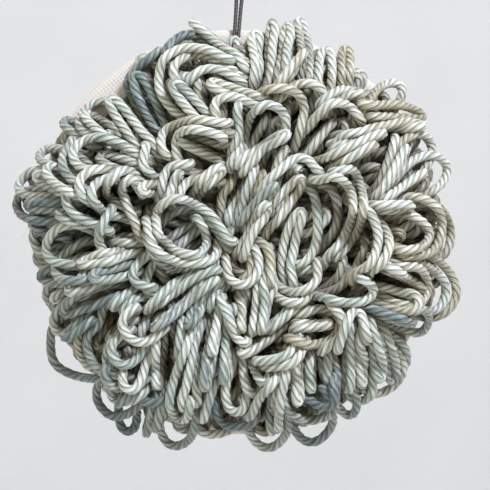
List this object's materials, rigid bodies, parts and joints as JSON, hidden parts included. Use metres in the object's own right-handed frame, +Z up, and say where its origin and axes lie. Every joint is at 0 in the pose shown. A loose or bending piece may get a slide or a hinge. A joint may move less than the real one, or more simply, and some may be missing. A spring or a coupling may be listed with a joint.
{
  "type": "punch needle wall piece",
  "caption": "Round wall piece of cotton cloth with a dense pile of long sage yarn loops, hung by a doubled dark cord.",
  "frame": {"origin": "the hanging point on the wall plane, where the cord's bight passes over what holds the piece up", "axes": "+Z up, the pile faces -Y, and +Y points out of the back of the cloth into the wall"},
  "size_m": [0.122, 0.0295, 0.1396],
  "materials": {
    "cream_cotton_cloth": "open, even weave of doubled cream cotton threads, matt",
    "sage_cotton_yarn": "eight-ply twisted cotton, grey-green with paler and darker plies, soft sheen",
    "dark_waxed_cord": "thin dark brown twisted cord, lightly waxed"
  },
  "bodies": {
    "root": {"ground_cloth": "cream_cotton_cloth", "loop_pile": "sage_cotton_yarn", "hanging_cord": "dark_waxed_cord"}
  },
  "joints": []
}
